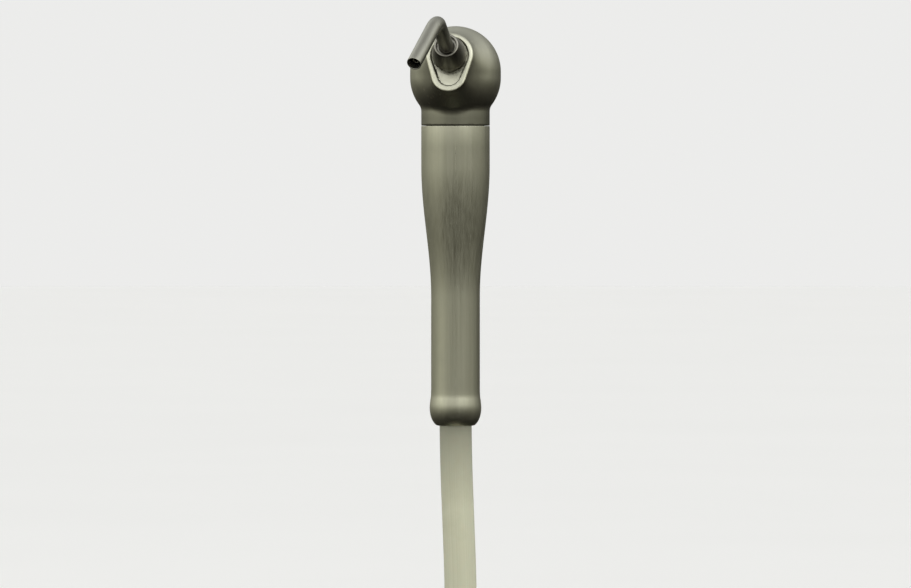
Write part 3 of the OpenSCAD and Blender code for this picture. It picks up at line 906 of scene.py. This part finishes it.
def satin(name, colour, roughness, lay=(1, 1, 0.02), streaks=0.05, smudge=0.06, worn=1.25, painted_shade_heights=None):
    """Brushed metal: fine lay lines, cloudy handling marks, brighter worn edges and, where heights are
    given, painted shade darkening the metal below them.
    """
    s = Shader(name, colour, roughness, metallic=1.0)
    s.surface.inputs["Anisotropic"].default_value = 0.35
    lines = s.noise(2600, 3, lay)
    coarse = s.noise(700, 3, lay)
    cloud = s.noise(90, 3)
    spots = s.noise(420, 5)
    tone = s.mix(s.remap(coarse, 0.35, 0.65, 0, 1), shade(colour, 0.95), shade(colour, 1.04))
    tone = s.mix(s.remap(cloud, 0.4, 0.75, 0, 0.6), tone, shade(colour, 0.86))
    # Painted shade: below the given heights the metal is darkened to half its colour. This stands in for the
    # shade under the ball at the neck.
    if painted_shade_heights:
        height = s.add("ShaderNodeSeparateXYZ")
        s.link(s.object_co, height.inputs[0])
        painted_shade_mask = s.remap(height.outputs["Z"], painted_shade_heights[0], painted_shade_heights[1], 1, 0)
        painted_shade_mask = s.math("MULTIPLY", painted_shade_mask, s.remap(cloud, 0.2, 0.8, 0.8, 1.0))
        tone = s.mix(painted_shade_mask, tone, shade(colour, 0.5))
    edge = s.remap(s.add("ShaderNodeNewGeometry").outputs["Pointiness"], 0.52, 0.62, 0, 0.7)
    tone = s.mix(edge, tone, shade(colour, worn))
    brushed = s.remap(lines, 0.3, 0.7, roughness - streaks, roughness + streaks)
    rough = s.math("ADD", brushed, s.remap(cloud, 0.4, 0.7, 0, smudge))
    rough = s.math("ADD", rough, s.remap(spots, 0.62, 0.7, 0, 0.05))
    normal = s.bump(lines, 0.10, 0.02 * MM)
    normal = s.bump(coarse, 0.06, 0.05 * MM, normal)
    return s.finish(tone, rough, normal)


def turned(name, colour, roughness):
    """Machined metal with cutter marks and a little tarnish."""
    s = Shader(name, colour, roughness, metallic=1.0)
    marks = s.noise(1800, 2, (0.2, 0.2, 3))
    tarnish = s.noise(260, 4)
    tone = s.mix(s.remap(tarnish, 0.45, 0.7, 0, 0.7), shade(colour, 1.03), shade(colour, 0.7))
    cut = s.remap(marks, 0.3, 0.7, roughness - 0.05, roughness + 0.05)
    rough = s.math("ADD", cut, s.remap(tarnish, 0.45, 0.7, 0, 0.12))
    return s.finish(tone, rough, s.bump(marks, 0.12, 0.02 * MM))


def rubber(name, colour, roughness):
    """Moulded rubber: fine grain and a dusty bloom."""
    s = Shader(name, colour, roughness)
    grain = s.noise(3500, 3)
    bloom = s.noise(300, 4)
    tone = s.mix(s.remap(bloom, 0.4, 0.7, 0, 0.6), colour, shade(colour, 1.8))
    rough = s.remap(bloom, 0.3, 0.7, roughness - 0.06, roughness + 0.1)
    return s.finish(tone, rough, s.bump(grain, 0.25, 0.03 * MM))


def plastic(name, colour, roughness):
    """Moulded plastic: faint orange peel, scuffs and a shade lost where fingers rub."""
    s = Shader(name, colour, roughness)
    s.surface.inputs["Specular IOR Level"].default_value = 0.5
    peel = s.noise(1500, 2)
    cloud = s.noise(220, 4)
    scuff = s.noise(900, 6, (1, 0.15, 1))
    tone = s.mix(s.remap(cloud, 0.35, 0.7, 0, 1), shade(colour, 0.92), shade(colour, 1.08))
    tone = s.mix(s.remap(scuff, 0.62, 0.72, 0, 0.3), tone, shade(colour, 1.5))
    remapped_level = s.remap(cloud, 0.3, 0.7, roughness - 0.04, roughness + 0.05)
    rough = s.math("ADD", remapped_level, s.remap(scuff, 0.6, 0.7, 0, 0.15))
    return s.finish(tone, rough, s.bump(peel, 0.15, 0.03 * MM))


def hose_skin(name, colour):
    """Extruded hose jacket: die lines along its length, faint handling marks, a soft sheen and painted
    shadow darkening the first stretch below the grip.
    """
    s = Shader(name, colour, 0.5)
    s.surface.inputs["Specular IOR Level"].default_value = 0.4
    s.surface.inputs["Sheen Weight"].default_value = 0.08
    s.surface.inputs["Subsurface Weight"].default_value = 0.06
    s.surface.inputs["Subsurface Scale"].default_value = 0.004
    around = s.add("ShaderNodeAttribute", attribute_name="around").outputs["Vector"]
    die = s.noise(14, 4, (1, 1, 0.4), around)
    fine_die = s.noise(60, 3, (1, 1, 0.4), around)
    marks = s.noise(130, 5)
    speck = s.noise(2200, 2)
    tone = s.mix(s.remap(die, 0.35, 0.65, 0, 1), shade(colour, 0.95), shade(colour, 1.04))
    dull = (colour[0] * 0.86, colour[1] * 0.84, colour[2] * 0.8)
    tone = s.mix(s.remap(marks, 0.5, 0.75, 0, 0.5), tone, dull)
    tone = s.mix(s.remap(speck, 0.68, 0.78, 0, 0.25), tone, shade(colour, 0.7))
    # Painted shadow: over its first stretch out of the grip, the hose is darkened to half its colour, fading
    # out by 52 mm along. This stands in for the shadow beneath the grip.
    length_along = s.add("ShaderNodeSeparateXYZ")
    s.link(around, length_along.inputs[0])
    remapped_level = s.remap(length_along.outputs["Z"], 0.03, 0.052, 0.95, 0)
    tone = s.mix(remapped_level, tone, shade(colour, 0.5))
    worn = s.remap(marks, 0.3, 0.7, 0.44, 0.56)
    rough = s.math("ADD", worn, s.remap(fine_die, 0.3, 0.7, -0.03, 0.03))
    normal = s.bump(die, 0.2, 0.12 * MM)
    normal = s.bump(fine_die, 0.15, 0.03 * MM, normal)
    return s.finish(tone, rough, s.bump(speck, 0.08, 0.02 * MM, normal))


def webbing(name, colour):
    """Woven strap with a raised, fuzzy loop face."""
    s = Shader(name, colour, 0.85)
    s.surface.inputs["Sheen Weight"].default_value = 0.35
    s.surface.inputs["Sheen Roughness"].default_value = 0.5
    weave = s.add("ShaderNodeTexVoronoi")
    weave.inputs["Scale"].default_value = 1700
    s.link(s.object_co, weave.inputs["Vector"])
    fuzz = s.noise(2600, 4)
    patch = s.noise(180, 3)
    thread = weave.outputs["Distance"]
    tone = s.mix(s.remap(thread, 0, 0.6, 0, 1), shade(colour, 1.9), shade(colour, 0.6))
    tone = s.mix(s.remap(patch, 0.4, 0.7, 0, 0.5), tone, shade(colour, 1.3))
    normal = s.bump(thread, 0.6, 0.2 * MM)
    return s.finish(tone, s.remap(fuzz, 0.3, 0.7, 0.75, 0.95), s.bump(fuzz, 0.4, 0.1 * MM, normal))


METAL = (0.495, 0.49, 0.40)
MATERIALS = {
    # The head's metal is painted darker at the neck, fading out between 49 and 56 mm up. This is painted
    # shade under the ball.
    "satin_metal": satin("satin_metal", METAL, 0.36, painted_shade_heights=(0.049, 0.056)),
    "grip_metal": satin("grip_metal", METAL, 0.4, lay=(1, 1, 0.012), streaks=0.09),
    "nut_metal": satin("nut_metal", (0.25, 0.242, 0.215), 0.36, lay=(1, 0.03, 0.03)),
    "tip_metal": satin("tip_metal", (0.37, 0.365, 0.315), 0.36, lay=(1, 0.05, 0.3)),
    "stainless": turned("stainless", (0.60, 0.60, 0.58), 0.3),
    "spring_steel": turned("spring_steel", (0.50, 0.50, 0.50), 0.28),
    "brass": turned("brass", (0.70, 0.53, 0.26), 0.3),
    "seal_rubber": rubber("seal_rubber", (0.02, 0.02, 0.021), 0.55),
    "washer_plastic": plastic("washer_plastic", (0.70, 0.67, 0.56), 0.5),
    "air_cap": plastic("air_cap", (0.62, 0.62, 0.60), 0.35),
    "water_cap": plastic("water_cap", (0.045, 0.13, 0.32), 0.33),
    "air_tubing": plastic("air_tubing", (0.62, 0.54, 0.24), 0.4),
    "water_tubing": plastic("water_tubing", (0.10, 0.24, 0.45), 0.4),
    "hose_jacket": hose_skin("hose_jacket", (0.42, 0.42, 0.305)),
    "strap": webbing("strap", (0.03, 0.032, 0.036)),
}


def dress(piece, slot):
    piece.data.materials.clear()
    piece.data.materials.append(MATERIALS[slot])


for part in frame["record"]["subparts"]:
    dress(nodes[part["node"]], part["material_slot"])
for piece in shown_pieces():
    if "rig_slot" in piece:
        dress(piece, piece["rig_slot"])
dress(grip, "grip_metal")


# ---------------------------------------------------------------- stage and light
FLOOR_Z = cad_box[0].z - 0.03
FLOOR_R = 12.0


def make_floor():
    segments = 96
    turns = [2 * math.pi * k / segments for k in range(segments)]
    ring = [(FLOOR_R * math.cos(a), FLOOR_R * math.sin(a), FLOOR_Z) for a in turns]
    floor = new_object("floor", ring, [tuple(range(segments))])
    s = Shader("floor_paint", (0.9, 0.9, 0.89), 0.8)
    cloud = s.noise(3, 3)
    tone = s.mix(cloud, (0.895, 0.895, 0.885), (0.915, 0.915, 0.905))
    floor.data.materials.append(s.finish(tone, s.remap(cloud, 0, 1, 0.75, 0.85)))
    floor.visible_glossy = False


def make_light(name, place, size, power, glossy=True):
    """A soft panel that faces the grip. It shows in polished surfaces only where glossy is set."""
    data = bpy.data.lights.new(name, "AREA")
    data.shape = "RECTANGLE"
    data.size, data.size_y = size
    data.energy = power
    lamp = bpy.data.objects.new(name, data)
    bpy.context.scene.collection.objects.link(lamp)
    lamp.location = place
    lamp.rotation_mode = "QUATERNION"
    lamp.rotation_quaternion = (Vector((0, 0, 0.02)) - Vector(place)).to_track_quat("-Z", "Y")
    lamp.visible_glossy = glossy


def make_world():
    """Pale to the camera, bright to matt surfaces, and a studio's shades to polished ones."""
    world = bpy.data.worlds.new("studio")
    bpy.context.scene.world = world
    world.use_nodes = True
    tree = world.node_tree
    tree.nodes.clear()
    out = tree.nodes.new("ShaderNodeOutputWorld")
    direction = tree.nodes.new("ShaderNodeTexCoord").outputs["Generated"]
    split = tree.nodes.new("ShaderNodeSeparateXYZ")
    tree.links.new(direction, split.inputs[0])
    height = tree.nodes.new("ShaderNodeMapRange")
    height.inputs["From Min"].default_value = -1
    height.inputs["From Max"].default_value = 1
    tree.links.new(split.outputs["Z"], height.inputs["Value"])
    ramp_node = tree.nodes.new("ShaderNodeValToRGB")
    ramp = ramp_node.color_ramp
    shades = [
        (0.0, (0.02, 0.019, 0.016)), (0.25, (0.03, 0.028, 0.022)), (0.40, (0.10, 0.095, 0.075)),
        (0.5, (0.31, 0.31, 0.255)), (0.575, (0.62, 0.62, 0.53)), (0.68, (1.0, 1.0, 0.93)),
        (0.8, (1.25, 1.27, 1.25)), (0.9, (0.9, 0.91, 0.9)), (1.0, (0.5, 0.5, 0.5)),
    ]
    while len(ramp.elements) < len(shades):
        ramp.elements.new(0.5)
    for element, (at, colour) in zip(ramp.elements, shades):
        element.position = at
        element.color = (*colour, 1)
    tree.links.new(height.outputs["Result"], ramp_node.inputs["Fac"])
    glossy = tree.nodes.new("ShaderNodeBackground")
    tree.links.new(ramp_node.outputs["Color"], glossy.inputs["Color"])

    def lobe(towards, start, end, from_value, to_value):
        """A value that changes smoothly towards one direction; start and end are cosines."""
        dot = tree.nodes.new("ShaderNodeVectorMath")
        dot.operation = "DOT_PRODUCT"
        dot.inputs[1].default_value = Vector(towards).normalized()
        tree.links.new(direction, dot.inputs[0])
        share = tree.nodes.new("ShaderNodeMapRange")
        share.interpolation_type = "SMOOTHSTEP"
        share.inputs["From Min"].default_value = start
        share.inputs["From Max"].default_value = end
        share.inputs["To Min"].default_value = from_value
        share.inputs["To Max"].default_value = to_value
        tree.links.new(dot.outputs["Value"], share.inputs["Value"])
        return share.outputs["Result"]

    def combine(operation, first, second):
        node = tree.nodes.new("ShaderNodeMath")
        node.operation = operation
        tree.links.new(first, node.inputs[0])
        tree.links.new(second, node.inputs[1])
        return node.outputs[0]

    left = lobe((-0.9, -0.42, 0.1), 0.72, 0.97, 0.0, 0.8)
    right = lobe((0.55, -0.6, 0.65), 0.8, 0.98, 1.0, 2.2)
    behind = lobe((0.25, 1, 0), 0.45, 0.92, 1.0, 0.25)
    level = combine("MULTIPLY", combine("ADD", left, right), behind)
    tree.links.new(level, glossy.inputs["Strength"])
    pale = tree.nodes.new("ShaderNodeBackground")
    pale.inputs["Color"].default_value = (0.84, 0.84, 0.83, 1)
    soft = tree.nodes.new("ShaderNodeBackground")
    soft.inputs["Color"].default_value = (0.92, 0.92, 0.91, 1)
    path = tree.nodes.new("ShaderNodeLightPath")
    seen = tree.nodes.new("ShaderNodeMixShader")
    tree.links.new(path.outputs["Is Camera Ray"], seen.inputs["Fac"])
    tree.links.new(soft.outputs[0], seen.inputs[1])
    tree.links.new(pale.outputs[0], seen.inputs[2])
    mirrored = tree.nodes.new("ShaderNodeMixShader")
    tree.links.new(path.outputs["Is Glossy Ray"], mirrored.inputs["Fac"])
    tree.links.new(seen.outputs[0], mirrored.inputs[1])
    tree.links.new(glossy.outputs[0], mirrored.inputs[2])
    tree.links.new(mirrored.outputs[0], out.inputs["Surface"])


make_floor()
make_world()
make_light("overhead", (0.15, -0.35, 0.9), (0.6, 0.5), 5, glossy=False)
make_light("front_panel", (-0.35, -0.9, 0.62), (0.5, 0.35), 0.6)
make_light("right_panel", (0.9, -0.3, 0.3), (0.3, 0.7), 0.9, glossy=False)
bpy.context.scene.view_settings.view_transform = "Standard"
